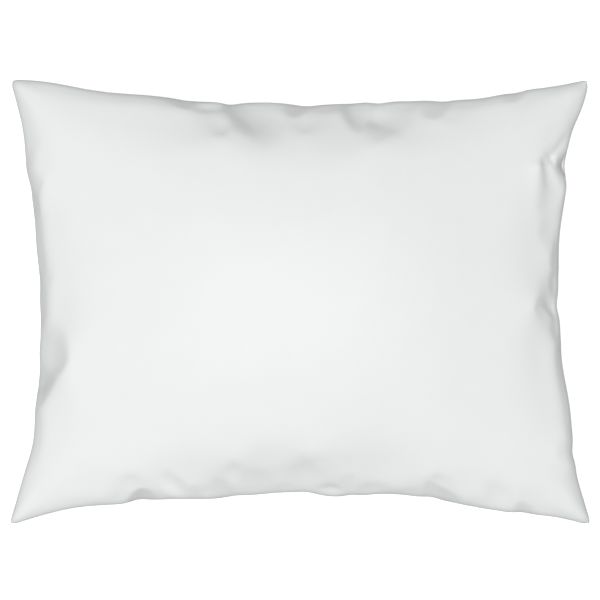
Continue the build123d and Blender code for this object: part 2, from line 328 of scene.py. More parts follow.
def fit_outline(front, back):
    """Bring the inflated case to its outline, keeping the folds that the cloth made.

    Each side's difference from its target is spread over the panels as a Coons patch: the
    two pairs of sides blended, less the blend of the four corners. The broad difference,
    averaged over five cells, is blended evenly across. What is left then fades inwards with
    the twelfth power of the distance from the far side.
    """
    for width, power in ((5, 1), (1.2, 12)):
        move = coons_patch(front, width, power)
        for panel in (front, back):
            panel[..., :2] += move


def coons_patch(panel, width, power):
    """The plan move of every point that takes a panel's sides to their targets."""
    s = np.linspace(0, 1, panel.shape[0])[:, None, None]
    t = np.linspace(0, 1, panel.shape[1])[None, :, None]

    def difference(side, line):
        gap = side_target(side, np.linspace(-1, 1, len(line))) - line[:, :2]
        return np.stack([smooth_line(gap[:, 0], width), smooth_line(gap[:, 1], width)], -1)

    bottom = difference("bottom", panel[:, 0])
    top = difference("top", panel[:, -1])
    left = difference("left", panel[0])
    right = difference("right", panel[-1])
    low, high = (1 - t) ** power, t ** power
    near, far = (1 - s) ** power, s ** power
    blend = low * bottom[:, None] + high * top[:, None] + near * left[None] + far * right[None]
    low_corners = near * low * bottom[0] + far * low * bottom[-1]
    high_corners = near * high * top[0] + far * high * top[-1]
    return blend - low_corners - high_corners


def round_corners(panel):
    """Turn the four square corners of a panel to arcs, moving only points within them.

    With p the distance from the arc's middle over its radius, both ways positive, a point
    keeps its direction and takes the length max(px, py).
    """
    tips = np.array([CORNER_X, CORNER_Y])
    offset = np.abs(panel[..., :2]) - (tips - CORNER_RADIUS)
    length = np.maximum(np.hypot(offset[..., 0], offset[..., 1]), 1e-9)
    scale = np.where(offset.min(-1) > 0, offset.max(-1) / length, 1)
    panel[..., :2] += np.sign(panel[..., :2]) * offset * (scale - 1)[..., None]


def filled(share):
    """How high a loosely filled case stands, from how high it blows up tight, both as shares.

    Blown tight, the case is full right to its shoulders. Loose fibre rounds them off:
    0.6 t^0.72 + 0.4 t^5.
    """
    return 0.6 * share ** 0.72 + 0.4 * share ** 5


def settle(front, back):
    """Give the case its real height, and press its underside flat on the table.

    Below the seam, z becomes a smooth maximum of the table and the free belly:
    table + w ln(1 + exp((z - table) / w)).
    """
    share = np.clip((front[..., 2] - SEAM_Z) / (front[..., 2].max() - SEAM_Z), 0, 1)
    front[..., 2] = SEAM_Z + (CROWN_Z - SEAM_Z) * filled(share)
    belly = 88 * MM
    share = np.clip((SEAM_Z - back[..., 2]) / (SEAM_Z - back[..., 2].min()), 0, 1)
    soft = 3 * MM
    table = 0.5 * MM
    back[..., 2] = table + soft * np.logaddexp(0, (SEAM_Z - belly * share ** 0.8 - table) / soft)


# Places where the case is pulled flat between a crease and the seam, in millimetres: the
# crease's inner tip, the point on the seam, half the width along the seam, and how far the
# seam is pulled down there.
FRONT_FACETS = (
    (-42, 176, -47, 222, 30, 6),
    (-50, 192, -58, 222, 20, 12),
    (-10, 206, -5, 220, 13, 6),
    (92, 180, 98, 222, 34, 4),
    (66, 190, 62, 222, 16, 8),
    (145, 204, 153, 223, 19, 5),
    (238, 222, 240, 235, 18, 4),
    (-127, 214, -130, 226, 40, 5),
    (-176, -206, -176, -219, 18, 13),
    (-150, -188, -130, -215, 14, 0),
    (-116, -203, -115, -217, 12, 3),
    (-93, -195, -84, -217, 15, 7),
    (-50, -186, -46, -213, 32, 3),
    (2, -172, 4, -212, 24, 0),
    (50, -192, 52, -214, 22, 1),
    (153, -202, 158, -218, 20, 9),
    (221, -200, 224, -228, 22, 1),
    (250, -222, 252, -235, 14, 6),
    (-257, -52, -291, -60, 36, 6),
    (-272, -84, -291, -88, 22, 12),
    (-289, 107, -298, 107, 14, 3),
    (265, 124, 295, 122, 38, 0),
    (266, 90, 291, 88, 26, 0),
    (278, 45, 288, 45, 34, 1),
    (264, 1, 287, -3, 19, 2),
    (273, -2, 288, -13, 12, 4),
)

BACK_FACETS = (
    (-150, 186, -150, 226, 30, 0),
    (30, 184, 32, 222, 34, 0),
    (186, 196, 190, 230, 24, 0),
    (-100, -182, -104, -218, 30, 0),
    (84, -186, 88, -216, 32, 0),
    (196, -196, 200, -228, 22, 0),
    (-254, 34, -290, 36, 36, 0),
    (-268, -104, -296, -110, 24, 0),
    (256, 52, 288, 54, 30, 0),
    (262, -96, 294, -104, 28, 0),
)

# Where the front lip of the zip is drawn in behind the back lip: place along the side, depth,
# half the length, and how far the back lip rises to it.
ZIP_NOTCH = (153 * MM, 5.4 * MM, 12 * MM, 4.5 * MM)

# Creases pressed in the front panel, in millimetres: start, end, width at each, depth, and
# how far the crease leans, from -1 to 1: its left side is then the gentler one.
FRONT_CREASES = (
    (80, 202, 118, 188, 12, 9, 4.0, 0.4),
    (48, 218, 70, 190, 13, 9, 3.5, 0.4),
    (298, 185, 272, 150, 6, 6, 5.0, 0.2),
    (270, 156, 277, 122, 6, 7, 3.5, 0.4),
    (278, 160, 296, 134, 4, 4, 2.5, 0.3),
    (-80, 221, -44, 186, 20, 12, 8.5, 0.5),
    (285, -17, 268, 6, 6, 7, 4.5, -0.5),
    (265, 150, 261, 94, 9, 10, -2.2, 0.0),
    (264, -4, 266, 26, 8, 8, -1.6, 0.0),
    (-290, -96, -258, -52, 12, 14, 4.0, 0.5),
)


def height_near(panel, heights, x, y):
    """The height of the panel's point that is nearest to a place in plan."""
    away = np.hypot(panel[..., 0] - x, panel[..., 1] - y)
    return heights[np.unravel_index(away.argmin(), away.shape)]


def pull_flat(panel, heights, distance, facet):
    """Pull a panel flat between a crease and the seam, and return its new heights.

    With d the distance from the seam and b that across from the crease's tip, the pulled
    cloth is (tip + dip) d / d_tip - dip + rise b^2. It meets the seam at the dip, and the
    free cloth at half the width. The result is the lower of the pulled and the free cloth,
    by a smooth minimum, which a window closes sideways: (1 - (b / 1.6 half)^2)^2.
    """
    x1, y1, x2, y2, half, dip = np.array(facet) * MM
    length = math.hypot(x2 - x1, y2 - y1)
    ahead = np.array([x2 - x1, y2 - y1]) / length
    dx = panel[..., 0] - x1
    dy = panel[..., 1] - y1
    a = dx * ahead[0] + dy * ahead[1]
    b = dy * ahead[0] - dx * ahead[1]
    tip = height_near(panel, heights, x1, y1)
    middle = height_near(panel, heights, (x1 + x2) / 2, (y1 + y2) / 2)
    depth = height_near(panel, distance, x1, y1)
    rise = max(middle - (tip - dip) / 2, 2 * MM) / half ** 2
    soft = 0.035 * length
    pulled = (tip + dip) * distance / depth - dip + rise * b ** 2
    lower = -soft * np.logaddexp(-heights / soft, -pulled / soft)
    window = np.clip(1 - (b / (1.6 * half)) ** 2, 0, 1) ** 2
    window = window * np.clip(2 + a / (8 * MM), 0, 1)
    return heights + (lower - heights) * window


def crease(panel, heights, line):
    """Press a straight crease into a panel, and return its new heights.

    With l from 0 to 1 along it and q the distance across over the width, the depth goes as
    exp(-q^2) (1 - l)^0.8, and rounds off before its start. The width is (1 + lean) wide on
    the left side and (1 - lean) on the right.
    """
    x0, y0, x1, y1, width0, width1, depth = np.array(line[:7]) * MM
    lean = line[7]
    length = math.hypot(x1 - x0, y1 - y0)
    ahead = np.array([x1 - x0, y1 - y0]) / length
    dx = panel[..., 0] - x0
    dy = panel[..., 1] - y0
    along = (dx * ahead[0] + dy * ahead[1]) / length
    inside = np.clip(along, 0, 1)
    across = dy * ahead[0] - dx * ahead[1]
    q = across / ((width0 + (width1 - width0) * inside) * (1 + lean * np.sign(across)))
    start = np.exp(-(np.minimum(along, 0) * length / (5 * MM)) ** 2)
    return heights - depth * np.exp(-q ** 2) * (1 - inside) ** 0.8 * start


def press(front, back):
    """Pull the panels flat where they pucker, and press their creases.

    Near the zip the change fades out, so that its lips stay at their height: as
    1 - exp(-(w / 5 mm)^2) at a distance w from that side, and over 12 mm for the creases.
    There the cloth is also kept above a slope of 0.7 from the lip, or at its old height if
    that is lower. The front panel takes the seam down with it elsewhere, and the back panel's
    edge follows, by a share that falls off inwards over 25 mm.
    """
    before = front[..., 2] - SEAM_Z
    heights = before.copy()
    distance = edge_distance(front)
    for facet in FRONT_FACETS:
        heights = pull_flat(front, heights, distance, facet)
    pressed = heights
    for line in FRONT_CREASES:
        pressed = crease(front, pressed, line)
    from_zip = np.abs(front[..., 0] - front[-1:, :, 0])
    heights = heights + (pressed - heights) * (1 - np.exp(-(from_zip / (12 * MM)) ** 2))
    soft = 0.5 * MM
    slope = 0.7 * from_zip - 3 * np.clip(from_zip - 20 * MM, 0, None)
    heights = soft * np.logaddexp(heights / soft, np.minimum(before, slope) / soft)
    change = (heights - before) * (1 - np.exp(-(from_zip / (5 * MM)) ** 2))
    front[..., 2] = SEAM_Z + before + change

    free = SEAM_Z - back[..., 2]
    heights = free.copy()
    distance = edge_distance(back)
    for facet in BACK_FACETS:
        heights = pull_flat(back, heights, distance, facet)
    hold = 1 - np.exp(-(distance / (5 * MM)) ** 2)
    back[..., 2] = SEAM_Z - free - (heights - free) * hold
    for line, edge in ((change[:, :1], back[:, :1]), (change[:, -1:], back[:, -1:]),
                       (change[:1], back[:1])):
        away = np.hypot(back[..., 0] - edge[..., 0], back[..., 1] - edge[..., 1])
        back[..., 2] += line * np.exp(-away / (25 * MM))


def notch_zip(front, back):
    """Draw the front lip of the zip in behind the back lip, which rises to it.

    Both moves are a bell along the side, exp(-((y - place) / half)^2), times a bell inwards:
    exp(-(w / 9 mm)^2) on the front and exp(-(w / 6 mm)^2) on the back.
    """
    place, depth, half, rise = ZIP_NOTCH
    for panel, axis, move, reach in ((front, 0, -depth, 9 * MM), (back, 2, rise, 6 * MM)):
        from_zip = np.abs(panel[..., 0] - panel[-1:, :, 0])
        bell = np.exp(-((panel[..., 1] - place) / half) ** 2)
        panel[..., axis] += move * bell * np.exp(-(from_zip / reach) ** 2)


def edge_distance(panel):
    """The distance of every point from the panel's nearest side, along its rows."""
    gaps = [np.hypot(*np.moveaxis(panel[..., :2] - edge[..., :2], -1, 0))
            for edge in (panel[:, :1], panel[:, -1:], panel[:1], panel[-1:])]
    return np.min(gaps, axis=0)


def spline_weights(places, count):
    """Rows of cubic B-spline weights that read a line of `count` points at each place.

    The line is carried on past its ends in a straight line, so the ends stay put.
    """
    start = np.minimum(places.astype(int), count - 2)
    f = places - start
    bell = np.stack([(1 - f) ** 3, 3 * f ** 3 - 6 * f ** 2 + 4,
                     1 + 3 * f + 3 * f ** 2 - 3 * f ** 3, f ** 3], -1) / 6
    weights = np.zeros((len(places), count + 2))
    row = np.arange(len(places))
    for k in range(4):
        weights[row, start + k] += bell[:, k]
    weights[:, 1] += 2 * weights[:, 0]
    weights[:, 2] -= weights[:, 0]
    weights[:, -2] += 2 * weights[:, -1]
    weights[:, -3] -= weights[:, -1]
    return weights[:, 1:-1]


def resample(panel, places_u, places_v):
    """A grid read at fractional rows and columns, as a smooth bicubic spline surface."""
    rows = spline_weights(places_u, panel.shape[0])
    columns = spline_weights(places_v, panel.shape[1])
    return np.einsum("ai,ijk,bj->abk", rows, panel, columns, optimize=True)


def fine_places(cells, fine):
    """Fractional places of `fine` even cells over `cells`, with two more close to each end."""
    even = np.linspace(0, cells, fine + 1)
    step = even[1]
    close = np.array([0, 0.25, 0.6]) * step
    return np.concatenate([close, even[1:-1], cells - close[::-1]])


def roll_edge(panel, way):
    """Roll the edge of a panel down into the seam.

    The first row is the seam, drawn in 2.2 mm under the roll. The second and third stand
    outermost. At a distance d the roll lifts the cloth by 6.6 mm (1 - exp(-d / 1.7 mm))
    exp(-(d / 18 mm)^2), less at the corners.
    """
    inset = np.array([2.2, -0.6, -0.9, -1.0, -0.5, -0.15]) * MM
    rise = np.array([0.0, 1.2, 3.8]) * MM
    distance = edge_distance(panel)
    i = np.arange(panel.shape[0])
    j = np.arange(panel.shape[1])
    ring_u = np.minimum(i, i[::-1])
    ring_v = np.minimum(j, j[::-1])
    ring = np.minimum(ring_u[:, None], ring_v[None, :])
    swell = 6.6 * MM * (1 - np.exp(-distance / (1.7 * MM))) * np.exp(-(distance / (18 * MM)) ** 2)
    lift = np.where(ring < len(rise), rise[np.minimum(ring, len(rise) - 1)], swell)
    u = np.linspace(-1, 1, panel.shape[0])[:, None]
    v = np.linspace(-1, 1, panel.shape[1])[None, :]
    corner = 1 - 0.6 * np.minimum(np.abs(u), np.abs(v)) ** 6

    def pick(ring_line):
        return np.where(ring_line < len(inset), inset[np.minimum(ring_line, len(inset) - 1)], 0)

    panel[..., 0] -= (np.sign(i - (len(i) - 1) / 2) * pick(ring_u))[:, None] * corner
    panel[..., 1] -= (np.sign(j - (len(j) - 1) / 2) * pick(ring_v))[None, :] * corner
    panel[..., 2] += way * lift * corner


def zip_arc(y):
    """Distance along the zip's arc of the point at height y of its side."""
    return SEAM_RADIUS * np.arcsin(np.clip(y / SEAM_RADIUS, -1, 1))


def groove_share(y):
    """1 along the zip's groove and 0 past its ends, by a smooth step, 3 t^2 - 2 t^3."""
    t = np.clip((GROOVE_REACH + GROOVE_CLOSE - np.abs(zip_arc(y))) / GROOVE_CLOSE, 0, 1)
    return t * t * (3 - 2 * t)


def open_groove(panel, way):
    """Part the lip of a panel from the other along the zip, fading into the panel."""
    edge = panel[-1]
    inwards = np.abs(panel[..., 0] - edge[None, :, 0])
    mouth = sizes().mouth / 2 * groove_share(edge[None, :, 1])
    room = (sizes().gap - sizes().mouth) / 2 * groove_share(edge[None, :, 1])
    swell = np.clip(inwards / (7 * MM), 0, 1)
    panel[..., 2] += way * (mouth + room * swell) * np.exp(-inwards / (14 * MM))


def groove_strip(panel, way):
    """The cloth turned in from a panel's lip: the groove's roof, then up against the tape.

    Rows run from the lip inwards to the tape's face, and then away from the chain along it.
    The roof rises from the mouth's height to the groove's within its first half, so that
    the lips nearly close over the slider.
    """
    edge = panel[-1]
    span = np.abs(zip_arc(edge[:, 1])) <= GROOVE_REACH + GROOVE_CLOSE
    edge = edge[span]
    clear = 0.35 * MM
    radius = SEAM_RADIUS + TAPE_DEPTH - clear - sizes().cloth
    end_x = ZIP_AXIS_X - np.sqrt(radius ** 2 - edge[:, 1] ** 2)
    room = (sizes().gap - sizes().mouth) / 2 * groove_share(edge[:, 1])
    rows = []
    for part, rise in ((0.1, 0.15), (0.25, 0.6), (0.45, 0.95), (0.7, 1), (0.93, 1), (1.0, 1.03)):
        x = edge[:, 0] + (end_x - edge[:, 0]) * part
        rows.append(np.stack([x, edge[:, 1], edge[:, 2] + way * room * rise], -1))
    for height in (1.2, 3.2):
        rows.append(rows[5] + np.array([0, 0, way * height * MM]))
    return np.stack(rows), span


# ---- meshes and objects ----

def mesh_object(name, points, faces, uv=None, smooth=True):
    """A mesh object from points and faces. The uv gives a pair for each point."""
    mesh = bpy.data.meshes.new(name)
    mesh.from_pydata(points.reshape(-1, 3).tolist(), [], list(faces))
    mesh.update()
    if uv is not None:
        layer = mesh.uv_layers.new(name="cloth")
        index = np.empty(len(mesh.loops), np.int32)
        mesh.loops.foreach_get("vertex_index", index)
        layer.data.foreach_set("uv", uv.reshape(-1, 2)[index].astype(np.float32).ravel())
    mesh.polygons.foreach_set("use_smooth", np.full(len(mesh.polygons), smooth))
    piece = bpy.data.objects.new(name, mesh)
    bpy.context.scene.collection.objects.link(piece)
    return piece


def finish_piece(piece, body, material, replaced=()):
    """Give a piece its material and its body, and hide the nodes that it stands for."""
    piece.data.materials.clear()
    piece.data.materials.append(material)
    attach(piece, body)
    if replaced:
        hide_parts(*replaced)


def thicken(piece, thickness):
    """Give a sheet its cloth's thickness, inwards from its face."""
    wall = piece.modifiers.new("cloth", "SOLIDIFY")
    wall.thickness = thickness
    wall.offset = -1
    wall.use_even_offset = False


def many_tubes(name, lines, radius, sides=6):
    """One object of many short round tubes, each along its own line of points.

    `lines` is an array of lines by points by three. The tubes are built for all lines at
    once: rings square to each line, joined by quads, with a flat cap at each end.
    """
    ahead = np.gradient(lines, axis=1)
    ahead /= np.linalg.norm(ahead, axis=2, keepdims=True)
    guide = np.array([0.0, 0.0, 1.0]) + 0 * ahead
    steep = np.abs(ahead[..., 2:]) > 0.95
    guide = np.where(steep, np.array([1.0, 0.0, 0.0]), guide)
    across = np.cross(ahead, guide)
    across /= np.linalg.norm(across, axis=2, keepdims=True)
    over = np.cross(across, ahead)
    angle = np.linspace(0, 2 * np.pi, sides, endpoint=False)[None, None, :, None]
    turn = np.cos(angle) * across[:, :, None] + np.sin(angle) * over[:, :, None]
    rings = lines[:, :, None] + radius * turn
    count, steps = lines.shape[:2]
    index = np.arange(count * steps * sides).reshape(count, steps, sides)
    wrap = np.concatenate([index, index[:, :, :1]], 2)
    quads = np.stack([wrap[:, :-1, :-1], wrap[:, :-1, 1:], wrap[:, 1:, 1:], wrap[:, 1:, :-1]], -1)
    caps = index[:, 0, ::-1].tolist() + index[:, -1].tolist()
    return mesh_object(name, rings, quads.reshape(-1, 4).tolist() + caps)


# ---- materials ----

def linear(hex_colour):
    """An sRGB hex value as a linear colour with full alpha."""
    parts = [int(hex_colour[k:k + 2], 16) / 255 for k in (0, 2, 4)]
    return [p / 12.92 if p <= 0.04045 else ((p + 0.055) / 1.055) ** 2.4 for p in parts] + [1.0]


def add_node(tree, kind, settings=None, values=None, links=None):
    """Add a shader node. Settings are its attributes, values and links its input sockets."""
    node = tree.nodes.new(kind)
    for key, value in (settings or {}).items():
        setattr(node, key, value)
    for key, value in (values or {}).items():
        node.inputs[key].default_value = value
    for key, socket in (links or {}).items():
        tree.links.new(socket, node.inputs[key])
    return node


def new_material(name):
    """An empty node material with its shader and output joined."""
    material = bpy.data.materials.new(name)
    material.use_nodes = True
    tree = material.node_tree
    tree.nodes.clear()
    shader = add_node(tree, "ShaderNodeBsdfPrincipled")
    add_node(tree, "ShaderNodeOutputMaterial", links={"Surface": shader.outputs[0]})
    return material, tree, shader


def weave_height(tree, warp, weft, coordinate):
    """The height of a plain weave: half the sum of a warp wave and a weft wave.

    `warp` and `weft` are the spacings of the threads, in metres of the coordinate.
    """
    split = add_node(tree, "ShaderNodeSeparateXYZ", links={0: coordinate})
    waves = []
    for axis, spacing in ((0, warp), (1, weft)):
        turn = add_node(tree, "ShaderNodeMath", {"operation": "MULTIPLY"},
                        {1: 2 * math.pi / spacing}, {0: split.outputs[axis]})
        waves.append(add_node(tree, "ShaderNodeMath", {"operation": "SINE"},
                              links={0: turn.outputs[0]}).outputs[0])
    product = add_node(tree, "ShaderNodeMath", {"operation": "MULTIPLY"},
                       links=dict(enumerate(waves)))
    return add_node(tree, "ShaderNodeMath", {"operation": "MULTIPLY_ADD"}, {1: 0.5, 2: 0.5},
                    {0: product.outputs[0]}).outputs[0]


def tones(hex_colour, darkest):
    """The two ends of a mix: a share `darkest` of a colour, and the whole colour."""
    base = linear(hex_colour)
    return {6: [darkest * part for part in base[:3]] + [1.0], 7: base}


def woven_cloth(name, colour, warp, weft, bump, rumple, sockets):
    """A woven cloth on its own UV map, which is in metres of the flat cloth."""
    material, tree, shader = new_material(name)
    place = add_node(tree, "ShaderNodeTexCoord").outputs["UV"]
    weave = weave_height(tree, warp, weft, place)
    # Uneven yarn: a slow change of a percent or two in how light the cloth is.
    slub = add_node(tree, "ShaderNodeTexNoise",
                    values={"Scale": 24.0, "Detail": 5.0, "Roughness": 0.6},
                    links={"Vector": place})
    mix = add_node(tree, "ShaderNodeMix", {"data_type": "RGBA"}, tones(colour, 0.965),
                   {0: slub.outputs["Fac"]})
    tree.links.new(mix.outputs[2], shader.inputs["Base Color"])
    relief = add_node(tree, "ShaderNodeBump", values={"Strength": bump, "Distance": 0.1 * MM},
                      links={"Height": weave})
    if rumple:
        crumple = add_node(tree, "ShaderNodeTexNoise",
                           values={"Scale": 34.0, "Detail": 3.0, "Roughness": 0.5},
                           links={"Vector": place})
        relief = add_node(tree, "ShaderNodeBump", values={"Strength": rumple, "Distance": 1.2 * MM},
                          links={"Height": crumple.outputs["Fac"], "Normal": relief.outputs[0]})
    tree.links.new(relief.outputs[0], shader.inputs["Normal"])
    set_sockets(shader, {"IOR": 1.5, "Specular IOR Level": 0.3, "Sheen Roughness": 0.45, **sockets})
    return material


def grained_finish(name, colour, grains, bump, depth, sockets):
    """A finish whose relief is a noise on Object coordinates, with its grains per metre."""
    material, tree, shader = new_material(name)
    place = add_node(tree, "ShaderNodeTexCoord").outputs["Object"]
    grain = add_node(tree, "ShaderNodeTexNoise", values={"Scale": grains}, links={"Vector": place})
    relief = add_node(tree, "ShaderNodeBump", values={"Strength": bump, "Distance": depth},
                      links={"Height": grain.outputs["Fac"]})
    mix = add_node(tree, "ShaderNodeMix", {"data_type": "RGBA"}, tones(colour, 0.93),
                   {0: grain.outputs["Fac"]})
    tree.links.new(mix.outputs[2], shader.inputs["Base Color"])
    tree.links.new(relief.outputs[0], shader.inputs["Normal"])
    set_sockets(shader, {"Coat Roughness": 0.15, **sockets})
    return material


def set_sockets(shader, values):
    """Set the uniform values of a shader on its own sockets."""
    for name, value in values.items():
        shader.inputs[name].default_value = value


# Woven cloths: the colour setting, the spacing of warp and weft, how strong the weave and the
# rumpling are, and the shader's own values.
WOVEN = {
    # Bleached cotton percale, calendered smooth: matt, with a soft light at grazing angles.
    # Real threads lie 0.28 mm apart. They are drawn 0.6 mm apart so that they show close up.
    "bleached_cotton_percale": ("case", 0.6 * MM, 0.6 * MM, 0.10, 0.10,
                                {"Roughness": 0.82, "Sheen Weight": 0.12}),
    # Down-proof cotton ticking, tightly woven and unbleached: a little creamier and drier.
    "downproof_cotton_ticking": ("ticking", 0.5 * MM, 0.4 * MM, 0.25, 0,
                                 {"Roughness": 0.88, "Sheen Weight": 0.08}),
    # Blank polyester satin ribbon: long floats across, so it shines along one way.
    "polyester_satin_ribbon": ("label", 0.25 * MM, 1.0 * MM, 0.15, 0,
                               {"Roughness": 0.42, "Sheen Weight": 0.2, "Anisotropic": 0.5}),
}

# Other finishes: the colour setting, grains per metre, how strong and how deep the relief is,
# and the shader's own values.
GRAINED = {
    # Spun polyester sewing thread: matt, with fine twisted plies 0.3 mm apart.
    "spun_polyester_thread": ("thread", 3000.0, 0.4, 0.1 * MM, {"Roughness": 0.75}),
    # Woven polyester zip tape: a fine close weave about 0.7 mm across, slightly shiny.
    "woven_polyester_tape": ("tape", 1400.0, 0.5, 0.2 * MM, {"Roughness": 0.7}),
    # Extruded nylon monofilament, wound in a coil: smooth and slightly glossy.
    "nylon_monofilament": ("coil", 900.0, 0.1, 0.1 * MM, {"Roughness": 0.32}),
    # Die-cast zinc under white lacquer: smooth, with a faint orange-peel and a gloss coat.
    "white_lacquered_zinc": ("lacquer", 700.0, 0.12, 0.1 * MM,
                             {"Roughness": 0.38, "Coat Weight": 0.5}),
    # Pressed aluminium strip, stove enamelled: satin, faintly dimpled by the press.
    "white_enamelled_aluminium": ("lacquer", 1100.0, 0.2, 0.1 * MM, {"Roughness": 0.45}),
    # Crimped hollow polyester fibre: soft white wadding with tangled strands 1.5 mm apart.
    "crimped_hollow_fibre": ("fibre", 650.0, 1.0, 2.0 * MM,
                             {"Roughness": 0.95, "Sheen Weight": 0.5}),
}


SHAPES = {}
MATERIALS = {}


def material_of(name):
    """The material of a finish, made once."""
    if name not in MATERIALS:
        table, make = (WOVEN, woven_cloth) if name in WOVEN else (GRAINED, grained_finish)
        setting, *rest = table[name]
        MATERIALS[name] = make(name, getattr(colours(), setting), *rest)
    return MATERIALS[name]


def case_shapes():
    """The two finished panels of the case, as fine grids of points, made once."""
    if not SHAPES:
        front, back = inflate_case()
        fit_outline(front, back)
        settle(front, back)
        places = [fine_places(*cells) for cells in zip(CLOTH_CELLS, FINE_CELLS)]
        front = resample(front, *places)
        back = resample(back, *places)
        for panel in (front, back):
            round_corners(panel)
            rise = SEAM_Z - panel[-1:, :, 2]
            panel[..., 2] += rise * np.exp(-np.abs(panel[..., 0] - panel[-1:, :, 0]) / (20 * MM))
        press(front, back)
        notch_zip(front, back)
        np.clip(back[..., 2], 0.4 * MM, None, out=back[..., 2])
        cut_u = (places[0] / CLOTH_CELLS[0] - 0.5) * sizes().flat_length
        cut_v = (places[1] / CLOTH_CELLS[1] - 0.5) * sizes().flat_width
        cut = np.stack(np.meshgrid(cut_u, cut_v, indexing="ij"), -1)
        SHAPES.update(front=front, back=back, cut=cut)
    return SHAPES


# ---- pieces ----

def case_panel_piece(name, panel, way):
    """A case panel: its inflated grid with a rolled edge, and the strip turned in at the zip."""
    roll_edge(panel, way)
    open_groove(panel, way)
    cut = case_shapes()["cut"]
    strip, span = groove_strip(panel, way)
    rows = len(strip)
    step = 3 * MM
    strip_cut = cut[-1:, span] + np.arange(1, rows + 1)[:, None, None] * np.array([step, 0])

    index = np.arange(panel.shape[0] * panel.shape[1]).reshape(panel.shape[:2])
    strip_index = index.size + np.arange(rows * span.sum()).reshape(rows, -1)
    strip_index = np.concatenate([index[-1:, span], strip_index])
    faces = np.concatenate([grid_faces(index), grid_faces(strip_index)])
    if way < 0:
        faces = faces[:, ::-1]
    points = np.concatenate([panel.reshape(-1, 3), strip.reshape(-1, 3)])
    uvs = np.concatenate([cut.reshape(-1, 2), strip_cut.reshape(-1, 2)])
    piece = mesh_object(name, points, faces, uvs)
    thicken(piece, sizes().cloth)
    return piece


class PILLOW_OT_case(bpy.types.Operator):
    """Inflate the cotton case and add its front and back panels"""
    bl_idname = "pillow.case"
    bl_label = "Case panels"

    def execute(self, context):
        shapes = case_shapes()
        cotton = material_of("bleached_cotton_percale")
        for name, key, way in (("case_front", "front", 1), ("case_back", "back", -1)):
            piece = case_panel_piece(name, shapes[key].copy(), way)
            finish_piece(piece, "pillow", cotton, (f"{name}_panel",))
        return {"FINISHED"}


def seam_line(side, inset):
    """The seam's line on a side of the inflated case, a little inside its edge."""
    front = case_shapes()["front"]
    line = {"top": front[:, -1], "bottom": front[:, 0], "left": front[0], "right": front[-1]}[side]
    inwards = {"top": (0, -1, 0), "bottom": (0, 1, 0), "left": (1, 0, 0), "right": (-1, 0, 0)}[side]
    return line + np.array(inwards) * inset


def stitches_along(line, length, depth):
    """Machine stitches along a line of points: each dips at its ends, as a thread that
    enters and leaves the cloth. Returns an array of stitches by points by three."""
    steps = np.linalg.norm(np.diff(line, axis=0), axis=1)
    travelled = np.concatenate([[0], np.cumsum(steps)])
    count = int(travelled[-1] // length)
    part = np.linspace(0.06, 0.94, 7)
    places = (np.arange(count)[:, None] + part[None]) * travelled[-1] / count
    points = np.stack([np.interp(places, travelled, line[:, k]) for k in range(3)], -1)
    points[..., 2] -= depth * (1 - np.sin(math.pi * part)) ** 2
    return points


class PILLOW_OT_seams(bpy.types.Operator):
    """Sew the four seams of the case, one line of stitches on each side"""
    bl_idname = "pillow.seams"
    bl_label = "Case seams"

    def execute(self, context):
        thread = material_of("spun_polyester_thread")
        for side in ("top", "bottom", "left", "right"):
            line = seam_line(side, 2.0 * MM)
            runs = [line[6:-6]]
            if side == "right":
                past = np.abs(zip_arc(line[:, 1])) > GROOVE_REACH + GROOVE_CLOSE
                runs = [line[past & (line[:, 1] < 0)][6:], line[past & (line[:, 1] > 0)][:-6]]
            stitches = np.concatenate([stitches_along(run, sizes().stitch, 0.1 * MM)
                                       for run in runs])
            piece = many_tubes(f"case_seam_{side}", stitches, THREAD_RADIUS)
            finish_piece(piece, "pillow", thread, (f"case_seam_thread_{side}",))
        return {"FINISHED"}


def zip_point(depth, arc, height):
    """Points of the zip: depth in from the seam's line, distance along the arc, and height."""
    angle = arc / SEAM_RADIUS
    radius = SEAM_RADIUS + depth
    shape = np.broadcast(depth, arc, height).shape
    x = np.broadcast_to(ZIP_AXIS_X - radius * np.cos(angle), shape)
    y = np.broadcast_to(radius * np.sin(angle), shape)
    z = np.broadcast_to(SEAM_Z + height, shape)
    return np.stack([x, y, z], -1)


def coil_line(side):
    """One coil of the zip as a monofilament's centre line.

    A turn is a flattened loop: height side (0.925 - 1.175 cos a) mm over the chain's middle,
    depth in its thickness by 0.7 sin a mm, moving on by one pitch each turn. The two coils
    are half a pitch apart, so their heads lie between each other.
    """
    pitch = sizes().coil_pitch
    turns = 2 * CHAIN_REACH / pitch
    per_turn = 10
    a = np.linspace(0, 2 * math.pi * turns, int(turns * per_turn) + 1)
    wire = 0.3 * MM
    overlap = 0.25 * MM
    middle = TAPE_DEPTH - COIL_THICK / 2
    depth = middle + (COIL_THICK / 2 - wire) * np.sin(a)
    reach = (COIL_OUTER - wire + overlap) / 2
    height = side * (reach - overlap - reach * np.cos(a))
    arc = -CHAIN_REACH + pitch * a / (2 * math.pi) + (pitch / 2 if side < 0 else 0)
    return zip_point(depth, np.clip(arc, -CHAIN_REACH, CHAIN_REACH), height), wire


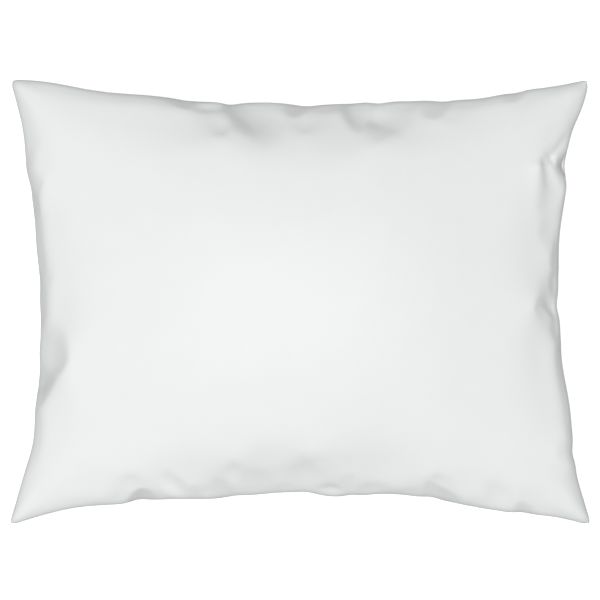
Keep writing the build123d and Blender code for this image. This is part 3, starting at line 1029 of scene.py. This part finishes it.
class PILLOW_OT_zip(bpy.types.Operator):
    """Add the zip: coils, stitched tapes, stops, slider and pull"""
    bl_idname = "pillow.zip"
    bl_label = "Zip"

    def execute(self, context):
        nylon = material_of("nylon_monofilament")
        thread = material_of("spun_polyester_thread")
        for side, name in ((1, "upper"), (-1, "lower")):
            line, wire = coil_line(side)
            coil = many_tubes(f"coil_{name}", line[None], wire, sides=5)
            finish_piece(coil, "pillow", nylon, (f"zip_coil_{name}",))
            arc = np.linspace(-CHAIN_REACH, CHAIN_REACH, 300)
            row = zip_point(TAPE_DEPTH - 0.9 * MM, arc, side * 7.4 * MM)
            stitches = stitches_along(row, sizes().stitch, 0)
            seam = many_tubes(f"zip_stitches_{name}", stitches, THREAD_RADIUS)
            finish_piece(seam, "pillow", thread, (f"zip_stitching_{name}",))
        for node, finish in (
                ("zip_tape_upper", "woven_polyester_tape"),
                ("zip_tape_lower", "woven_polyester_tape"),
                ("zip_top_stops", "white_enamelled_aluminium"),
                ("zip_bottom_stop", "white_enamelled_aluminium"),
                ("zip_slider", "white_lacquered_zinc"),
                ("zip_pull_tab", "white_lacquered_zinc")):
            frame["nodes"][node].data.materials.clear()
            frame["nodes"][node].data.materials.append(material_of(finish))
        return {"FINISHED"}


def inner_shapes():
    """The inner pillow's two faces: the case's faces, smoothed, and moved in from them.

    The plan is scaled so that the seam lies 14 to 26 mm inside the case's. Each face stands
    0.94 of the smoothed case's height from the seam's plane, less 1.6 mm.
    """
    shapes = case_shapes()
    faces = {}
    scale = np.array([0.920, 0.938])
    share, gap, margin = 0.94, 1.6 * MM, 0.03
    for key, way in (("front", 1), ("back", -1)):
        rows, columns = shapes[key].shape[:2]
        shape = resample(shapes[key], np.linspace(0, rows - 1, INNER_POINTS[0]),
                         np.linspace(0, columns - 1, INNER_POINTS[1]))
        height = way * (shape[..., 2] - SEAM_Z)
        height = np.minimum(height, smooth_grid(height, 1.5))
        u = np.linspace(-1, 1, shape.shape[0])[:, None]
        v = np.linspace(-1, 1, shape.shape[1])[None, :]
        shape[..., 0] = smooth_grid(shape[..., 0], 3) * scale[0]
        shape[..., 1] = smooth_grid(shape[..., 1], 3) * scale[1]
        edge = np.clip(np.minimum((1 - np.abs(u)) / margin, (1 - np.abs(v)) / margin), 0, 1)
        height = np.maximum(share * height - gap * edge, 0.5 * MM * edge)
        shape[..., 2] = SEAM_Z + way * height
        faces[key] = shape
    return faces


class PILLOW_OT_inner(bpy.types.Operator):
    """Add the inner pillow: ticking panels, seams and fibre filling"""
    bl_idname = "pillow.inner"
    bl_label = "Inner pillow"

    def execute(self, context):
        faces = inner_shapes()
        ticking = material_of("downproof_cotton_ticking")
        flat = (INNER_CUT * sizes().flat_length, INNER_CUT * sizes().flat_width)
        for key, way in (("front", 1), ("back", -1)):
            shape = faces[key]
            index = np.arange(shape.shape[0] * shape.shape[1]).reshape(shape.shape[:2])
            quads = grid_faces(index) if way > 0 else grid_faces(index)[:, ::-1]
            cut = np.meshgrid(np.linspace(-0.5, 0.5, shape.shape[0]) * flat[0],
                              np.linspace(-0.5, 0.5, shape.shape[1]) * flat[1], indexing="ij")
            piece = mesh_object(f"ticking_{key}_sheet", shape, quads, np.stack(cut, -1))
            thicken(piece, 0.3 * MM)
            finish_piece(piece, "pillow", ticking, (f"ticking_{key}",))
        self.sew(faces["front"])
        self.stuff(faces)
        return {"FINISHED"}

    def sew(self, front):
        """Stitch the ticking's seam, and its filling gap with the tighter closing stitch."""
        thread = material_of("spun_polyester_thread")
        gap = 90 * MM
        bottom = front[:, 0]
        lines = [front[1:-1, -1], front[0, 1:-1], front[-1, 1:-1],
                 bottom[(bottom[:, 0] < -gap)][1:], bottom[(bottom[:, 0] > gap)][:-1]]
        seam = np.concatenate([stitches_along(line, sizes().stitch, 0.1 * MM) for line in lines])
        piece = many_tubes("ticking_seam", seam, THREAD_RADIUS)
        finish_piece(piece, "pillow", thread, ("ticking_seam_thread",))
        middle = bottom[np.abs(bottom[:, 0]) <= gap]
        closing = stitches_along(middle, 1.8 * MM, 0.1 * MM)
        piece = many_tubes("ticking_closing", closing, 0.18 * MM)
        finish_piece(piece, "pillow", thread, ("ticking_closing_stitch",))

    def stuff(self, faces):
        """Fill the ticking: one closed soft body, 0.8 mm inside both panels."""
        front = faces["front"][1:-1:2, 1:-1:2].copy()
        back = faces["back"][1:-1:2, 1:-1:2].copy()
        quads, _, _, inner = joined_faces(front.shape[:2])
        for shape, way in ((front, 1), (back, -1)):
            shape[..., :2] *= 0.985
            height = np.maximum(way * (shape[..., 2] - SEAM_Z) - 0.8 * MM, 0.2 * MM)
            shape[..., 2] = SEAM_Z + way * height
        edge_z = 0.5 * (front[..., 2] + back[..., 2])
        front[..., 2] = np.where(inner, front[..., 2], edge_z)
        points = np.concatenate([front.reshape(-1, 3), back[inner]])
        piece = mesh_object("fibre_filling", points, quads)
        fibre = material_of("crimped_hollow_fibre")
        finish_piece(piece, "pillow", fibre, ("fibre_fill",))


class PILLOW_OT_labels(bpy.types.Operator):
    """Add the two blank satin labels: one sewn on the ticking, one in the case's seam"""
    bl_idname = "pillow.labels"
    bl_label = "Labels"

    def execute(self, context):
        satin = material_of("polyester_satin_ribbon")
        self.add("content_label", self.laid_label(), (50 * MM, 70 * MM), "laid", satin)
        self.add("care_label", self.folded_label(), (34 * MM, 30 * MM), "folded", satin)
        return {"FINISHED"}

    def add(self, node, grid, flat, held, satin):
        """Put a grid of points in as a thin satin sheet, for a label's node."""
        index = np.arange(grid.shape[0] * grid.shape[1]).reshape(grid.shape[:2])
        cut = np.meshgrid(np.linspace(0, flat[0], grid.shape[0]),
                          np.linspace(0, flat[1], grid.shape[1]), indexing="ij")
        piece = mesh_object(f"{node}_satin", grid, grid_faces(index), np.stack(cut, -1))
        thicken(piece, 0.15 * MM)
        finish_piece(piece, "pillow", satin, (node,))

    def laid_label(self):
        """A patch that lies on the ticking: plan from the label's box, height from the ticking."""
        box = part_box("content_label")
        ticking = inner_shapes()["front"]
        x, y = np.meshgrid(np.linspace(box[0][0], box[1][0], 11),
                           np.linspace(box[0][1], box[1][1], 15), indexing="ij")
        away = np.hypot(ticking[None, None, ..., 0] - x[..., None, None],
                        ticking[None, None, ..., 1] - y[..., None, None])
        weight = np.exp(-(away / (5 * MM)) ** 2)
        z = (weight * ticking[..., 2]).sum((-1, -2)) / weight.sum((-1, -2))
        return np.stack([x, y, z + 0.6 * MM], -1)

    def folded_label(self):
        """A ribbon folded in half: in from the seam, round a fold of 0.5 mm, and back."""
        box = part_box("care_label")
        length = box[1][0] - box[0][0]
        turn = 0.5 * MM
        t = np.linspace(-1, 1, 25)
        x = box[0][0] + (length - turn) * (1 - np.abs(t)) / 0.9
        x = np.minimum(x, box[1][0] - turn + turn * np.sqrt(np.clip(1 - (t / 0.1) ** 2, 0, 1)))
        z = SEAM_Z + turn * np.clip(t / 0.1, -1, 1)
        y = np.linspace(box[0][1], box[1][1], 13)
        wave = 0.3 * MM * np.sin(y / (6 * MM))
        grid = np.stack(np.broadcast_arrays(x[:, None], y[None], z[:, None] + wave[None]), -1)
        return grid[::-1]


class PILLOW_OT_stage(bpy.types.Operator):
    """Set the pale table, which glows a little as painted light, the soft studio light and the
    camera straight above
    """
    bl_idname = "pillow.stage"
    bl_label = "Stage"

    def execute(self, context):
        scene = bpy.context.scene
        half_side = 40.0
        points = half_side * np.array([[-1, -1, 0], [1, -1, 0], [1, 1, 0], [-1, 1, 0]])
        table = mesh_object("table", points, np.array([[0, 1, 2, 3]]), smooth=False)
        material, tree, shader = new_material("glowing_white_laminate")
        white = linear(colours().table)
        # The table glows a little by itself: painted light that keeps it evenly white where the
        # pillow's shadow and penumbra fall. Diffuse rays don't see the table, so its glow doesn't
        # light the pillow.
        set_sockets(shader, {"Base Color": white, "Roughness": 0.9, "Specular IOR Level": 0.1,
                             "Emission Color": white, "Emission Strength": 0.62})
        table.data.materials.append(material)
        table.visible_diffuse = False

        world = bpy.data.worlds.new("studio")
        world.use_nodes = True
        self.sky(world.node_tree)
        scene.world = world
        self.softbox("overhead_softbox", 1.2, 36.0, (-0.24, -0.16, 2.4))

        # The pillow fills 0.96 of the frame's width, and lies a little below its middle.
        lens = bpy.data.cameras.new("camera")
        distance = 3.0
        width = 2 * TIP_X / 0.96
        lens.sensor_width = 36.0
        lens.lens = lens.sensor_width * distance / width
        camera = bpy.data.objects.new("camera", lens)
        camera.location = (0.0, 2.8 * MM, SEAM_Z + distance)
        scene.collection.objects.link(camera)
        scene.camera = camera
        scene.view_settings.view_transform = "Standard"
        return {"FINISHED"}

    def sky(self, tree):
        """White light from all round, stronger from above: 0.30 + 0.16 of the height."""
        place = add_node(tree, "ShaderNodeTexCoord")
        split = add_node(tree, "ShaderNodeSeparateXYZ", links={0: place.outputs["Generated"]})
        level = add_node(tree, "ShaderNodeMath", {"operation": "MULTIPLY_ADD"}, {1: 0.16, 2: 0.30},
                         {0: split.outputs[2]})
        tree.nodes["Background"].inputs[0].default_value = (1.0, 1.0, 1.0, 1.0)
        tree.links.new(level.outputs[0], tree.nodes["Background"].inputs[1])

    def softbox(self, name, size, power, place):
        """A square area light that points at the pillow and isn't seen itself."""
        lamp = bpy.data.lights.new(name, "AREA")
        lamp.shape = "SQUARE"
        lamp.size = size
        lamp.energy = power
        light = bpy.data.objects.new(name, lamp)
        light.location = place
        aim = np.array([0, 0, CROWN_Z]) - np.array(place)
        light.rotation_euler = (math.atan2(math.hypot(aim[0], aim[1]), -aim[2]), 0,
                                math.atan2(aim[1], aim[0]) - math.pi / 2)
        light.visible_camera = False
        bpy.context.scene.collection.objects.link(light)


class PILLOW_PT_panel(bpy.types.Panel):
    """Lists the pillow's sizes, its colours and the steps that build it"""
    bl_label = "Bed pillow"
    bl_space_type = "VIEW_3D"
    bl_region_type = "UI"
    bl_category = "Pillow"

    def draw(self, context):
        for group in (context.scene.pillow_sizes, context.scene.pillow_colours):
            box = self.layout.box()
            for key in group.__annotations__:
                box.prop(group, key)
        for step in STEPS:
            self.layout.operator(step.bl_idname)


STEPS = (PILLOW_OT_case, PILLOW_OT_seams, PILLOW_OT_zip, PILLOW_OT_inner, PILLOW_OT_labels,
         PILLOW_OT_stage)
CLASSES = (PillowSizes, PillowColours, *STEPS, PILLOW_PT_panel)


def register():
    for item in CLASSES:
        bpy.utils.register_class(item)
    bpy.types.Scene.pillow_sizes = bpy.props.PointerProperty(type=PillowSizes)
    bpy.types.Scene.pillow_colours = bpy.props.PointerProperty(type=PillowColours)


def unregister():
    del bpy.types.Scene.pillow_colours
    del bpy.types.Scene.pillow_sizes
    for item in reversed(CLASSES):
        bpy.utils.unregister_class(item)


def main():
    register()
    bpy.ops.pillow.case()
    bpy.ops.pillow.seams()
    bpy.ops.pillow.zip()
    bpy.ops.pillow.inner()
    bpy.ops.pillow.labels()
    bpy.ops.pillow.stage()


if __name__ == "__main__":
    main()
